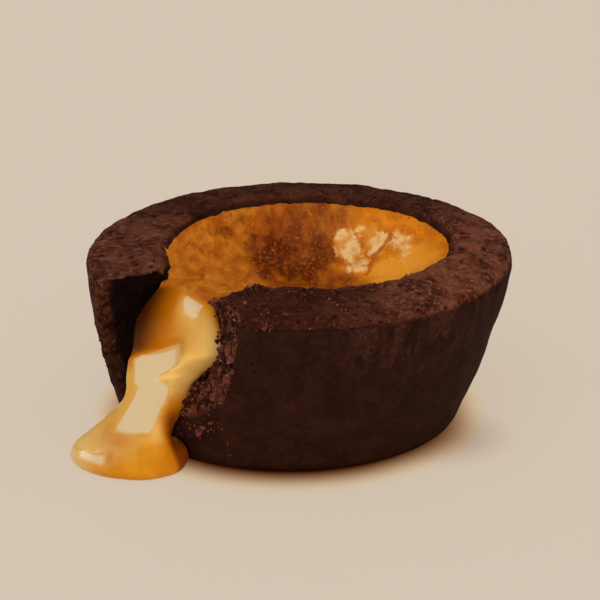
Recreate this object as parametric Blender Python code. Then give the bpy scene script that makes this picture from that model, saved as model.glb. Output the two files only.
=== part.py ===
"""A chocolate lava cake: a small round sponge with a sunken top full of caramel.

The sponge is broken open at its front left, and the caramel runs out there into a
puddle beside it. The frame is metres with +Z up. The origin is the centre of the
sponge's flat base, -Y is the front and +X is to the right. An angle is measured
about +Z from +X, so the front is at 270 degrees.
"""

import math

import bmesh
import bpy
from mathutils import Vector, noise

MM = 0.001

# Where in the noise each kind of relief is taken from
SIDE_SEED = 3.1
RIM_SEED = 8.3
BREAK_SEEDS = (5.7, 9.9)
POOL_SEED = 2.2

# Sponge: overall sizes
HEIGHT = 33.0 * MM
WIDEST_RADIUS = 38.0 * MM
WIDEST_Z = 29.5 * MM
FOOT_RADIUS = 27.4 * MM
OPENING_RADIUS = 26.1 * MM
OPENING_SHIFT = (1.4 * MM, 2.2 * MM)
LEAN = 2.1 * MM

# Sponge: turned outline, from the middle of the base out, up, over and down the hollow
FOOT_OUTLINE = (
    (FOOT_RADIUS, 0.0),
    (29.4 * MM, 0.4 * MM),
    (30.6 * MM, 2.2 * MM),
)
WALL_OUTLINE = (
    (31.4 * MM, 4.6 * MM),
    (33.0 * MM, 9.0 * MM),
    (34.5 * MM, 13.6 * MM),
    (35.7 * MM, 18.2 * MM),
    (36.9 * MM, 22.7 * MM),
    (37.8 * MM, 27.0 * MM),
    (WIDEST_RADIUS, WIDEST_Z),
)
RIM_OUTLINE = (
    (37.4 * MM, 30.5 * MM),
    (35.8 * MM, 31.4 * MM),
    (33.0 * MM, 32.1 * MM),
    (30.0 * MM, 32.8 * MM),
    (27.8 * MM, HEIGHT),
    (OPENING_RADIUS, 32.5 * MM),
    (25.4 * MM, 31.3 * MM),
)
HOLLOW_OUTLINE = (
    (24.8 * MM, 29.2 * MM),
    (23.2 * MM, 25.5 * MM),
    (20.0 * MM, 18.5 * MM),
    (14.0 * MM, 12.6 * MM),
    (7.0 * MM, 10.0 * MM),
)
HOLLOW_FLOOR_Z = 9.3 * MM
SEGMENTS = 80
CURVE_STEPS = 2

# The hollow is wider at the top where the caramel runs out
MOUTH_ANGLE = 217.0
MOUTH_SPREAD = 28.0
MOUTH_WIDENING = 4.1 * MM
MOUTH_LOW_Z = 22.0 * MM
MOUTH_RIM_RADIUS = 34.0 * MM

# The rim is lower at the left and at the back, and it has crumbled beside the break
LEFT_RIM_ANGLE = 185.0
LEFT_RIM_SPREAD = 78.0
LEFT_RIM_LOSS = 0.68
BACK_RIM_ANGLE = 90.0
BACK_RIM_SPREAD = 115.0
BACK_RIM_LOSS = 0.48
CORNER_ANGLE = 230.0
CORNER_SPREAD = 24.0
CORNER_DROP = 2.6 * MM
CORNER_LOW_Z = 23.0 * MM

# Crags of the crust: how wide, and how high
SIDE_CRAG_SIZE = 7.0 * MM
SIDE_CRAG = 0.35 * MM
SIDE_CRAG_LOW_Z = 5.0 * MM
RIM_CRAG_SIZE = 4.2 * MM
RIM_CRAG = 0.75 * MM

# The break: an outline in plan for each height, open to the outside
BREAK_SILL_Z = 8.0 * MM
BREAK_TOP_Z = 40.0 * MM
BREAK_LEVELS = 17
BREAK_POINT_GAP = 2.2 * MM
BREAK_ROUGH_SIDES = (1, 2, 3, 4)
BREAK_CRAG_SIZE = 4.0 * MM
BREAK_CRAG = 0.7 * MM
BREAK_REACH = 55.0 * MM
BREAK_MIDDLE = 40.0 * MM
BREAK_INNER_RIGHT = (-14.4 * MM, -19.6 * MM)
BREAK_OUTER_RIGHT = (-10.6 * MM, -35.0 * MM)
BREAK_INNER_LEFT = (-20.8 * MM, -11.2 * MM)
BREAK_BACK_LEFT = (-25.6 * MM, -10.8 * MM)
BREAK_OUTER_LEFT = (-37.0 * MM, -13.6 * MM)
BREAK_UNDERCUT = 4.0 * MM
BREAK_SLOPE = 7.5 * MM
BREAK_SLOPE_TOP_Z = 25.0 * MM
RUBBLE_TOP_Z = 20.0 * MM
RUBBLE_INNER_RIGHT = (-20.0 * MM, -25.5 * MM)

# Caramel
GAP = 0.3 * MM
POOL_RADIUS = 25.1 * MM
POOL_RISE = 1.5 * MM
POOL_MIDDLE_FULLNESS = 0.7
POOL_DISH = 5.6 * MM
POOL_RELIEF = 0.55 * MM
POOL_RELIEF_SIZE = 6.0 * MM
POOL_RINGS = 8
STREAM_ANGLE = 222.5
STREAM_SIDES = 24
STREAM_STEPS = 3
STREAM_ROUNDNESS = 0.84
# distance out, height, how far to the left, half width, half depth, in millimetres
STREAM_SECTIONS = (
    (16.0, 25.0, 1.6, 5.0, 2.4),
    (20.6, 26.4, 2.0, 7.6, 3.2),
    (25.0, 26.0, 1.8, 8.0, 3.8),
    (27.8, 22.4, 1.3, 8.7, 4.6),
    (29.4, 18.6, 0.1, 8.5, 5.0),
    (31.8, 14.2, 1.2, 5.7, 4.6),
    (34.7, 9.8, 0.4, 6.1, 4.0),
    (36.8, 6.5, 0.6, 8.8, 3.9),
    (38.2, 4.6, 0.2, 10.0, 3.4),
    (39.2, 2.9, 0.0, 9.2, 2.2),
)
PUDDLE_CENTRE = (-28.2 * MM, -24.8 * MM)
PUDDLE_LENGTH = 21.8 * MM
PUDDLE_WIDTH = 17.8 * MM
PUDDLE_TURN = -22.0
PUDDLE_SEGMENTS = 48
# how far in from the outline, and how high, in millimetres
PUDDLE_EDGE = (
    (1.3, 0.0),
    (0.5, 0.5),
    (0.0, 1.9),
    (0.4, 3.3),
    (1.6, 4.4),
    (3.6, 5.0),
    (6.2, 5.2),
)


def smoothstep(low, high, value):
    """0 below low, 1 above high, and a smooth climb between them."""
    share = min(max((value - low) / (high - low), 0.0), 1.0)
    return share * share * (3.0 - 2.0 * share)


def bump(angle, centre, spread):
    """1 at the centre, falling smoothly to 0 at the spread; all in degrees."""
    away = abs((angle - centre + 180.0) % 360.0 - 180.0)
    return 1.0 - smoothstep(0.0, spread, away)


def curve_through(points, steps):
    """Points of a Catmull-Rom curve through the given points, with steps to a span."""
    ends = [points[0]] + list(points) + [points[-1]]
    curve = []
    for i in range(1, len(ends) - 2):
        for step in range(steps):
            t = step / steps
            around = ends[i - 1 : i + 3]
            curve.append(tuple(spline(around, axis, t) for axis in range(len(points[0]))))
    curve.append(tuple(points[-1]))
    return curve


def spline(ends, axis, t):
    """One coordinate of a Catmull-Rom span, at the share t of it."""
    a, b, c, d = (end[axis] for end in ends)
    squared = 2 * a - 5 * b + 4 * c - d
    cubed = 3 * b - 3 * c + d - a
    return 0.5 * (2 * b + (c - a) * t + squared * t**2 + cubed * t**3)


def crag(point, size, seed):
    """Smooth noise from about -1 to 1 with bumps of the given size, in two octaves."""
    at = Vector(point) / size + Vector((seed, 0.7 * seed, -seed))
    return noise.noise(at) + 0.5 * noise.noise(2.0 * at)


def new_object(name, vertices, faces):
    """A mesh object from points and faces, made of flat triangles that face outward."""
    mesh = bpy.data.meshes.new(name)
    mesh.from_pydata(vertices, [], faces)
    work = bmesh.new()
    work.from_mesh(mesh)
    bmesh.ops.triangulate(work, faces=work.faces)
    bmesh.ops.recalc_face_normals(work, faces=work.faces)
    work.to_mesh(mesh)
    work.free()
    thing = bpy.data.objects.new(name, mesh)
    bpy.context.scene.collection.objects.link(thing)
    return thing


def stacked_rings(rings, bottom, top):
    """Faces for rings of points one after another, closed by a point at each end."""
    count = len(rings[0])
    vertices = [point for ring in rings for point in ring] + [bottom, top]
    last = len(vertices) - 1
    faces = []
    for row in range(len(rings) - 1):
        for i in range(count):
            after = (i + 1) % count
            below = row * count
            above = below + count
            faces.append((below + i, below + after, above + after, above + i))
    end = (len(rings) - 1) * count
    for i in range(count):
        after = (i + 1) % count
        faces.append((last - 1, after, i))
        faces.append((last, end + i, end + after))
    return vertices, faces


def leaned(radius, z, angle, off_centre=0.0):
    """The point at a radius, height and angle about the sponge's leaning axis.

    A point with an off_centre of 1 is set over with the opening, and with 0 not at all.
    """
    turn = math.radians(angle)
    x = radius * math.cos(turn) + LEAN * z / HEIGHT + OPENING_SHIFT[0] * off_centre
    y = radius * math.sin(turn) + OPENING_SHIFT[1] * off_centre
    return Vector((x, y, z))


def hollow_off_centre(z):
    """How far a height of the hollow is set over with the opening."""
    return smoothstep(HOLLOW_FLOOR_Z, WIDEST_Z, z)


def rim_off_centre(radius):
    """How far a radius of the rim is set over with the opening."""
    return 1.0 - smoothstep(OPENING_RADIUS, WIDEST_RADIUS, radius)


def mouth(radius, z, angle):
    """How much further out a point at the hollow's edge is where the caramel runs out."""
    near = 1.0 - smoothstep(OPENING_RADIUS, MOUTH_RIM_RADIUS, radius)
    near *= smoothstep(MOUTH_LOW_Z, WIDEST_Z, z)
    return MOUTH_WIDENING * near * bump(angle, MOUTH_ANGLE, MOUTH_SPREAD)


def rim_fullness(angle):
    """How much of the rim's dome there is at an angle: 1 all of it, 0 none."""
    left = 1.0 - LEFT_RIM_LOSS * bump(angle, LEFT_RIM_ANGLE, LEFT_RIM_SPREAD)
    return left * (1.0 - BACK_RIM_LOSS * bump(angle, BACK_RIM_ANGLE, BACK_RIM_SPREAD))


def settled_height(z, angle):
    """A height of the outline once the rim is flattened and the corner has crumbled."""
    if z > WIDEST_Z:
        z = WIDEST_Z + (z - WIDEST_Z) * rim_fullness(angle)
    drop = CORNER_DROP * bump(angle, CORNER_ANGLE, CORNER_SPREAD)
    return z - drop * smoothstep(CORNER_LOW_Z, HEIGHT, z)


def crust_point(radius, z, angle):
    """A point of the sponge's outside or rim, with its crags."""
    on_rim = z > WIDEST_Z
    off_centre = rim_off_centre(radius) if on_rim else 0.0
    out = radius + mouth(radius, z, angle) if on_rim else radius
    place = leaned(out, settled_height(z, angle), angle, off_centre)
    outward = leaned(1.0, 0.0, angle)
    side_crag = SIDE_CRAG * smoothstep(0.0, SIDE_CRAG_LOW_Z, z)
    place += outward * side_crag * crag(place, SIDE_CRAG_SIZE, SIDE_SEED)
    if on_rim:
        place.z += RIM_CRAG * crag(place, RIM_CRAG_SIZE, RIM_SEED) * smoothstep(WIDEST_Z, HEIGHT, z)
    return place


def hollow_point(radius, z, angle, gap):
    """A point of the hollow's wall, or a gap inside it."""
    out = radius + mouth(radius, z, angle) - gap
    return leaned(out, z + gap, angle, hollow_off_centre(z))


def make_sponge():
    """The turned sponge with its open hollow, before the break."""
    outside = curve_through(FOOT_OUTLINE + WALL_OUTLINE + RIM_OUTLINE, CURVE_STEPS)
    angles = [360.0 * i / SEGMENTS for i in range(SEGMENTS)]
    rings = [[leaned(0.5 * FOOT_RADIUS, 0.0, angle) for angle in angles]]
    rings += [[crust_point(radius, z, angle) for angle in angles] for radius, z in outside]
    rings += [[hollow_point(radius, z, angle, 0.0) for angle in angles] for radius, z in HOLLOW_OUTLINE]
    vertices, faces = stacked_rings(rings, leaned(0, 0, 0), leaned(0, HOLLOW_FLOOR_Z, 0))
    return new_object("cake", vertices, faces)


def outward_direction():
    """The level direction in which the caramel runs out."""
    return leaned(1.0, 0.0, STREAM_ANGLE)


def break_outline(z):
    """The plan of the break at a height, from its outer right corner inward and back out.

    Its left face is undercut below the rim, its back slopes out to the sill under the
    caramel, and at its lower right it is shallow, where rubble is left standing.
    """
    slope = outward_direction().to_2d() * BREAK_SLOPE
    slope *= 1.0 - smoothstep(BREAK_SILL_Z, BREAK_SLOPE_TOP_Z, z)
    undercut = BREAK_UNDERCUT * math.sin(math.pi * min(z / WIDEST_Z, 1.0))
    rubble = 1.0 - smoothstep(BREAK_SILL_Z, RUBBLE_TOP_Z, z)
    inner_right = Vector(BREAK_INNER_RIGHT).lerp(Vector(RUBBLE_INNER_RIGHT), rubble)
    outer_right = Vector(BREAK_OUTER_RIGHT)
    inner_left = Vector(BREAK_INNER_LEFT) + slope
    back_left = Vector(BREAK_BACK_LEFT) + 0.5 * slope + Vector((0.0, 0.5 * undercut))
    outer_left = Vector(BREAK_OUTER_LEFT) + Vector((0.0, undercut))
    far_right = outer_right.normalized() * BREAK_REACH
    far_left = outer_left.normalized() * BREAK_REACH
    corners = [far_right, outer_right, inner_right, inner_left, back_left, outer_left, far_left]
    corners.append(outward_direction().to_2d() * BREAK_REACH)
    return corners


def evenly_spaced(corners, counts):
    """A closed outline's corners with the given number of points along each side."""
    points = []
    for i, count in enumerate(counts):
        start = corners[i]
        end = corners[(i + 1) % len(corners)]
        points += [start.lerp(end, step / count) for step in range(count)]
    return points


def make_break():
    """The wedge that is broken out of the sponge's wall, rough on the faces it leaves."""
    shares = [(i / (BREAK_LEVELS - 1)) ** 1.2 for i in range(BREAK_LEVELS)]
    heights = [BREAK_SILL_Z + (BREAK_TOP_Z - BREAK_SILL_Z) * share for share in shares]
    full = break_outline(HEIGHT)
    counts = [1] * len(full)
    for i in BREAK_ROUGH_SIDES:
        counts[i] = max(1, round((full[i + 1] - full[i]).length / BREAK_POINT_GAP))
    rings = []
    for z in heights:
        ring = []
        for point in evenly_spaced(break_outline(z), counts):
            place = point.to_3d() + leaned(0.0, z, 0.0)
            shifts = [BREAK_CRAG * crag(place, BREAK_CRAG_SIZE, seed) for seed in BREAK_SEEDS]
            ring.append(place + Vector((shifts[0], shifts[1], 0.0)))
        rings.append(ring)
    middle = outward_direction() * BREAK_MIDDLE
    floor = middle + Vector((0.0, 0.0, BREAK_SILL_Z))
    lid = middle + Vector((0.0, 0.0, BREAK_TOP_Z))
    vertices, faces = stacked_rings(rings, floor, lid)
    return new_object("break_cutter", vertices, faces)


def pool_point(share, angle):
    """A point of the pool's dished, wrinkled top, at a share of the way out."""
    uneven = rim_fullness(angle) * share**2 + POOL_MIDDLE_FULLNESS * (1.0 - share**2)
    dish = POOL_DISH * (1.0 - share**2) ** 0.8
    out = share * (POOL_RADIUS + mouth(0.0, WIDEST_Z, angle))
    place = leaned(out, WIDEST_Z + POOL_RISE * uneven - dish, angle, 1.0)
    place.z += POOL_RELIEF * crag(place, POOL_RELIEF_SIZE, POOL_SEED) * (1.0 - share**4)
    return place


def make_pool():
    """The caramel that fills the hollow, a gap clear of the sponge."""
    angles = [360.0 * i / SEGMENTS for i in range(SEGMENTS)]
    shares = [(i + 0.5) / (POOL_RINGS + 0.5) for i in range(POOL_RINGS)] + [1.0]
    rings = [[pool_point(share, angle) for angle in angles] for share in shares]
    rings += [[hollow_point(radius, z, angle, GAP) for angle in angles] for radius, z in HOLLOW_OUTLINE]
    top = pool_point(0.0, 0.0)
    vertices, faces = stacked_rings(rings, top, leaned(0, HOLLOW_FLOOR_Z + GAP, 0))
    return new_object("caramel", vertices, faces)


def squarish(part):
    """A sine or cosine that turns a circle into a slightly squarer oval."""
    return math.copysign(abs(part) ** STREAM_ROUNDNESS, part)


def make_stream(name, grow):
    """The caramel that runs down through the break, thicker all round by grow."""
    along = outward_direction()
    across = Vector((-along.y, along.x, 0.0))
    sections = curve_through(STREAM_SECTIONS, STREAM_STEPS)
    middles = []
    for out, z, left, _, _ in sections:
        middles.append(along * out * MM - across * left * MM + leaned(0.0, z * MM, 0.0))
    rings = []
    for i, (_, _, _, half_width, half_depth) in enumerate(sections):
        travel = middles[min(i + 1, len(middles) - 1)] - middles[max(i - 1, 0)]
        facing = travel.cross(across).normalized()
        ring = []
        for side in range(STREAM_SIDES):
            turn = math.tau * side / STREAM_SIDES
            wide = across * (half_width * MM + grow) * squarish(math.cos(turn))
            deep = facing * (half_depth * MM + grow) * squarish(math.sin(turn))
            ring.append(middles[i] + wide + deep)
        rings.append(ring)
    vertices, faces = stacked_rings(rings, middles[0], middles[-1])
    return new_object(name, vertices, faces)


def make_puddle(name, grow):
    """The caramel puddle, a flat-bottomed drop with a bulging edge, larger by grow."""
    centre = Vector((PUDDLE_CENTRE[0], PUDDLE_CENTRE[1], 0.0))
    lengthways = leaned(1.0, 0.0, PUDDLE_TURN)
    widthways = leaned(1.0, 0.0, PUDDLE_TURN + 90.0)
    rings = []
    for inset, z in PUDDLE_EDGE:
        half_length = 0.5 * PUDDLE_LENGTH - inset * MM + grow
        half_width = 0.5 * PUDDLE_WIDTH - inset * MM + grow
        raised = Vector((0.0, 0.0, z * MM + (grow if z > 1.0 else 0.0)))
        ring = []
        for i in range(PUDDLE_SEGMENTS):
            at = math.tau * i / PUDDLE_SEGMENTS
            out = lengthways * half_length * math.cos(at) + widthways * half_width * math.sin(at)
            ring.append(centre + raised + out)
        rings.append(ring)
    top = centre + Vector((0.0, 0.0, PUDDLE_EDGE[-1][1] * MM + grow))
    vertices, faces = stacked_rings(rings, centre, top)
    return new_object(name, vertices, faces)


def combine(body, other, operation):
    """Join other to body, or cut it away, and remove it."""
    modifier = body.modifiers.new(operation.lower(), "BOOLEAN")
    modifier.operation = operation
    modifier.solver = "EXACT"
    modifier.object = other
    bpy.context.view_layer.objects.active = body
    bpy.ops.object.modifier_apply(modifier=modifier.name)
    bpy.data.objects.remove(other)


def drop_scraps(thing):
    """Keep only the largest of a mesh's separate pieces."""
    work = bmesh.new()
    work.from_mesh(thing.data)
    left = set(work.verts)
    pieces = []
    while left:
        piece = {left.pop()}
        edge_of_piece = list(piece)
        while edge_of_piece:
            point = edge_of_piece.pop()
            for edge in point.link_edges:
                other = edge.other_vert(point)
                if other in left:
                    left.remove(other)
                    piece.add(other)
                    edge_of_piece.append(other)
        pieces.append(piece)
    largest = max(pieces, key=len)
    scraps = [point for point in work.verts if point not in largest]
    bmesh.ops.delete(work, geom=scraps, context="VERTS")
    work.to_mesh(thing.data)
    work.free()


def finish_food(thing, colour, roughness, coat):
    """Shade a food smooth between its creases and give it its material."""
    material = bpy.data.materials.new(thing.name)
    material.use_nodes = True
    shader = material.node_tree.nodes["Principled BSDF"]
    shader.inputs["Base Color"].default_value = (*colour, 1.0)
    shader.inputs["Roughness"].default_value = roughness
    shader.inputs["Metallic"].default_value = 0.0
    shader.inputs["Coat Weight"].default_value = coat
    thing.data.materials.clear()
    thing.data.materials.append(material)
    thing.data.shade_smooth()
    thing.data.set_sharp_from_angle(angle=math.radians(40.0))


def main():
    """Build the sponge, break it open, and fill it with the caramel."""
    for thing in list(bpy.data.objects):
        bpy.data.objects.remove(thing)
    cake = make_sponge()
    combine(cake, make_break(), "DIFFERENCE")
    combine(cake, make_stream("stream_cutter", GAP), "DIFFERENCE")
    combine(cake, make_puddle("puddle_cutter", GAP), "DIFFERENCE")
    drop_scraps(cake)
    caramel = make_pool()
    combine(caramel, make_stream("stream", 0.0), "UNION")
    combine(caramel, make_puddle("puddle", 0.0), "UNION")
    finish_food(cake, (0.045, 0.014, 0.008), 0.85, 0.0)
    finish_food(caramel, (0.52, 0.20, 0.02), 0.2, 0.5)


main()
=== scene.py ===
"""A chocolate lava cake: the fine crumb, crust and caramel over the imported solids.

The frame is metres with +Z up. The origin is the centre of the sponge's flat base, -Y
is the front and +X is to the right. Lengths are in millimetres until a mesh, a shader or
a light takes them. Angles are in degrees about +Z from +X, so the front is at 270.
"""

import math

import bmesh
import bpy
import numpy as np
from mathutils import Matrix, Vector
from mathutils.kdtree import KDTree


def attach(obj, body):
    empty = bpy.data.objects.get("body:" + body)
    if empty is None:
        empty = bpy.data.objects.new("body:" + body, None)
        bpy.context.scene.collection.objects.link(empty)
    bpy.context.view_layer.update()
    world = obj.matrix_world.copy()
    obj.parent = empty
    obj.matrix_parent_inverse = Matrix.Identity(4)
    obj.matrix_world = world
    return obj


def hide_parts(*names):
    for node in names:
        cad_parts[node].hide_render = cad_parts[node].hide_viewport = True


MM = 0.001

# The sponge, as the solid has it
HEIGHT = 33.0
LEAN = 2.1
SIDE_RADIUS = 36.0
WALL_HEIGHTS = (0.0, 0.4, 2.2, 4.6, 9.0, 13.6, 18.2, 22.7, 27.0, 29.5, 34.0)
WALL_RADII = (28.5, 29.4, 30.6, 31.4, 33.0, 34.5, 35.7, 36.9, 37.8, 38.0, 38.0)
OPENING_CENTRE = (3.3, 2.2)

# The caramel, as the solid has it
POOL_RADIUS = 25.1
MOUTH_ANGLE = 217.0
MOUTH_SPREAD = 28.0
MOUTH_WIDENING = 4.1
STREAM_ANGLE = 222.5
STREAM_MIDDLE = -1.0
STREAM_HALF_WIDTH = 7.0

# The view from the front and above: its middle, and the camera that takes it
VIEW_X = 1.97
VIEW_Z = 21.4
VIEW_ELEVATION = math.radians(21.0)
VIEW_WIDTH = 107.3 * MM
CAMERA_TARGET = Vector((VIEW_X, 0.0, VIEW_Z)) * MM
CAMERA_DISTANCE = 1.2
CAMERA_REACH = 100.0
SENSOR = 36.0

# Fine meshes: how near points are joined first, then face widths and smoothing
WELD = 0.0001
SMOOTHING_FACTOR = 0.5
CAKE_VOXEL = 0.47
CAKE_SMOOTHING = 2
CARAMEL_VOXEL = 0.36
CARAMEL_SMOOTHING = 14

# Regions: for each measure of a place, the value where the region hasn't begun and the
# one where it is full. A fourth number is an angle that the measure is taken from.
REGIONS = {
    "break": (("angle", 33.0, 29.0, 226.0), ("depth", 0.6, 2.0), ("z", 6.0, 8.0)),
    "sliver": (("ragged_angle", 187.0, 189.0), ("angle", 206.0, 200.0), ("z", 5.0, 11.0)),
    "top": (("facing_up", 0.35, 0.8), ("z", 26.5, 29.0)),
    "front_rim": (("angle", 70.0, 25.0, 262.0),),
    # The rim's outer edge at the front, where a groove is cut and a line of painted shade runs
    "rim_corner": (("angle", 52.0, 26.0, 262.0),),
    "off_base": (("z", 0.0, 0.8),),
    # A paler stretch at the upper right of the side
    "paler_side_patch": (("paler_side", -0.35, 0.35), ("angle", 36.0, 14.0, 306.0), ("paler_side_height", 13.0, 31.0)),
    # Painted light on the torn face: lit right of the stream, painted shade left of it and in patches,
    # its left edge lit again
    "lit": (("across", -4.0, 4.0),),
    "lit_patches": (("patches", -0.35, 0.15),),
    "left_edge": (("depth", 3.0, 0.8), ("angle", 215.0, 205.0)),
    "left_edge_high": (("z", 10.0, 28.0),),
    "crumbs_front": (("angle", 75.0, 20.0, 258.0),),
    "crumbs_shown": (("from_opening", 25.0, 26.0),),
    "crumbs_right": (("across", -2.0, 3.0),),
    "crumbs_below": (("angle", 13.0, 8.0, 240.0), ("z", 2.5, 4.5), ("z", 11.0, 8.0)),
    "clumps": (("clumps", -0.15, 0.5),),
    "lump_clumps": (("lump_clumps", -0.3, 0.2),),
    "neck": (("along", 15.0, 20.0), ("along", 31.0, 26.0), ("z", 22.0, 25.0)),
    "foot": (("along", 31.0, 34.0), ("z", 1.2, 3.0)),
    "join": (("along", 33.0, 35.5), ("along", 42.0, 39.0), ("z", 2.0, 4.0), ("z", 12.0, 9.0)),
    "right_edge": (("across", 0.5, 4.0), ("z", 3.0, 6.0), ("along", 22.5, 25.0)),
    "waist": (("across", -2.0, -4.5), ("z", 4.5, 7.5), ("z", 15.0, 11.5), ("along", 30.0, 33.0)),
    "front": (("along", 27.0, 30.0), ("z", 4.5, 8.0), ("z", 25.0, 20.0), ("aside", 1.3, 0.8)),
    "upward": (("facing_up", 0.2, 0.7),),
    "pool": (("along", 26.0, 23.0), ("z", 18.0, 22.0)),
    "pool_back": (("y", 2.0, 16.0),),
    "pool_edge": (("inset", 2.6, 0.5), ("z", 27.0, 29.0)),
    "near_edge": (("pool_angle", 42.0, 14.0, 265.0),),
    # The pool's near edge, where a painted highlight runs
    "painted_lip_highlight": (("off_lip", 1.1, 0.4), ("pool_angle", 32.0, 20.0, 267.0)),
    # The stream's lighter body: its own paler colour, partly painted light
    "light": (("along", 24.0, 28.0), ("z", 5.5, 9.5)),
    # Painted shade on the caramel low down and near the cake, at the right
    "painted_shade_under": (("radius", 39.0, 34.5), ("along", 26.0, 29.0), ("across", 2.5, 6.8), ("z", 17.0, 10.0)),
    "puddle_join": (("z", 8.0, 6.5), ("x", -33.5, -31.5)),
    "satin_above": (("slanting", -8.3, -7.5), ("seen_y", -2.6, -4.0)),
    "satin_left": (("seen_x", -22.9, -22.3), ("seen_y", -2.6, -4.0)),
    # Painted light on the puddle's left side
    "painted_light_puddle_left": (("x", -29.0, -37.0), ("y", -34.0, -28.0)),
    # Painted light on the stream's right flank, and under its fold
    "painted_light_flank": (("across", 5.0, 9.0),),
    "fold": (("across", 1.5, 4.5), ("seen_y", -8.5, -10.5), ("seen_y", -18.0, -15.5)),
    # Painted shade on the stream's upper left
    "shade": (
        ("outside", 1.2, -5.4),
        ("along", 21.5, 23.5),
        ("seen_y", 4.8, 2.4),
        ("seen_y", -11.5, -8.0),
        ("flat", 0.5, 0.25),
    ),
    "dull": (("seen_y", -2.6, -4.0), ("seen_y", -17.0, -15.0), ("flat", 0.6, 0.4)),
    # The deepest painted shade, at its outer edge
    "painted_deep_shade": (("outside", -3.5, -6.5), ("seen_y", -9.0, -4.0)),
    # Painted half-shade between the painted shade and the lit part
    "painted_half_shade": (("along", 21.5, 23.5), ("seen_y", -13.5, -10.5), ("seen_y", 4.8, 2.4)),
}

# Smooth noises: the height, size and seed of each of their layers
WAVES = {
    "broad": ((1.0, 3.2, 1),),
    "medium": ((1.0, 1.7, 2),),
    "fine": ((1.0, 0.95, 3),),
    "break_edge": ((3.5, 3.5, 8), (1.5, 1.4, 9)),
    "lit_patches": ((1.0, 3.2, 10),),
    "streaks": ((1.0, 1.1, 11), (0.6, 0.55, 12)),
    "paler_side": ((1.0, 2.4, 13), (0.6, 1.1, 14)),
    "paler_side_height": ((3.0, 3.4, 15),),
    "clumps": ((1.0, 3.0, 21),),
    "lump_clumps": ((1.0, 4.0, 22),),
    "wrinkles": ((0.14, 3.0, 31), (0.084, 1.5, 32)),
    "swell": ((0.1, 5.0, 34),),
    "wavy_edge": ((0.2, 2.5, 35),),
    "back_streaks": ((0.12, 1.3, 36),),
    "baked": ((1.0, 5.0, 37), (0.6, 2.2, 38)),
    "patch_edge": ((0.4, 2.6, 39), (0.15, 1.3, 40)),
    "torn": ((1.0, 3.0, 41), (0.7, 1.3, 42)),
}

# What turns the noise's slopes into heights of up to about 1
NOISE_REACH = 3.4

# Scattered grains: their spacing and seed
GRAINS = {
    "grain": (1.25, 4),
    "coarse_grain": (2.3, 5),
    "pit": (2.6, 6),
    "side_pit": (2.9, 7),
    "pool_grain": (1.8, 33),
}
GRAIN_LEVEL = 0.62
PIT_RADII = {"pit": (0.30, 0.12), "side_pit": (0.16, 0.07)}

# The sponge's relief: how high each noise stands in each region
RELIEF = {
    "side": {"broad": 0.08, "medium": 0.04, "streaks": 0.03, "side_pit": -0.15},
    "top": {"broad": 0.16, "medium": 0.09, "fine": 0.06, "grain": 0.10, "pit": -0.22},
    "front_rim": {"medium": 0.10, "fine": 0.08, "grain": 0.16, "pit": -0.2},
    "torn": {
        "broad": 0.30,
        "medium": 0.30,
        "fine": 0.15,
        "grain": 0.35,
        "coarse_grain": 0.3,
        "pit": -0.6,
    },
}
CORNER_DEPTH = 0.22

# How much the noises on the side are drawn out downward, and how full the sliver is
STREAKS_DRAWN_OUT = 0.12
PALER_SIDE_DRAWN_OUT = 0.3
SLIVER_SHARE = 0.75

# The torn face's painted light: its share in patches of painted shade, and that of its left edge
DARK_PATCH_LIGHT = 0.3
LEFT_EDGE_LIGHT = (0.25, 0.6)

# Paler stretches of the rim: share, angle, and how far from it they end and are full
PALE_RIMS = ((0.75, 185.0, 60.0, 25.0), (1.0, 345.0, 75.0, 25.0), (0.2, 90.0, 60.0, 20.0))

# Crumbs: how thickly they lie
RIM_CRUMBS = 0.6
TORN_CRUMBS = 1.1
TORN_LEFT_SHARE = 0.04
CRUMBS_BELOW = 0.9
LUMPS_BELOW = 0.35

# Crumbs: how many of each kind, and from what size to what size
CRUMB_SEED = 41
CRUMB_COUNT = 1250
CRUMB_SIZES = (0.13, 0.42)
LUMP_COUNT = 290
LUMP_SIZES = (0.35, 1.0)
EDGE_COUNT = 70
EDGE_SIZES = (0.25, 0.9)

# Crumbs along the stream: how near the torn face, and on what part of the caramel
EDGE_REACH = (1.6, 0.48)
EDGE_LEAST_ACROSS = 2.0
EDGE_LEAST_Z = 9.0
EDGE_LEAST_ALONG = 22.0
EDGE_MOST_BACKWARD = 0.1
TORN_LEAST = 0.3

# One crumb: how small most are, and its lift, stretch and raggedness
CRUMB_SMALLNESS = 2.2
CRUMB_LIFT = 0.12
CRUMB_STRETCH = (0.55, 0.6)
CRUMB_RAGGEDNESS = 0.24

# The stream: how its mesh is relaxed, and how its edges are moved, by heights in the view
RELAXING = 0.5
ENDS_ROUNDS = 90
JOIN_ROUNDS = 160
EDGE_ROUNDS = 12
RIGHT_EDGE_HEIGHTS = (-24.0, -21.0, -18.6, -16.6, -15.0, -13.0, -11.4, -9.4, -7.2, -3.6, 0.0, 2.0)
RIGHT_EDGE_PUSHES = (0.0, 0.9, 1.7, 1.5, 0.0, -0.9, 0.3, 2.7, 3.0, 1.7, 0.0, 0.0)
WAIST = 1.5
FRONT_FULLNESS = 0.8

# Flat patches that mirror one light: middle, half sizes and leans in the view
FLAT_NORMAL = np.array([-0.466, -0.716, 0.520])
FLAT_PATCHES = ((-25.4, -11.3, 3.7, 2.5, 0.0, 0.42), (-26.4, -18.7, 3.6, 4.4, 0.62, 0.0))
PUDDLE_NORMAL = np.array([-0.21, -0.47, 0.857])
PUDDLE_PATCHES = ((-36.4, -27.6, 2.5, 0.95, 0.0, 0.0),)
FLAT_ENDS = (1.6, 0.8)
FLAT_FACING = (0.3, 0.7)
FLAT_HEIGHTS = (26.0, 24.0)

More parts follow.
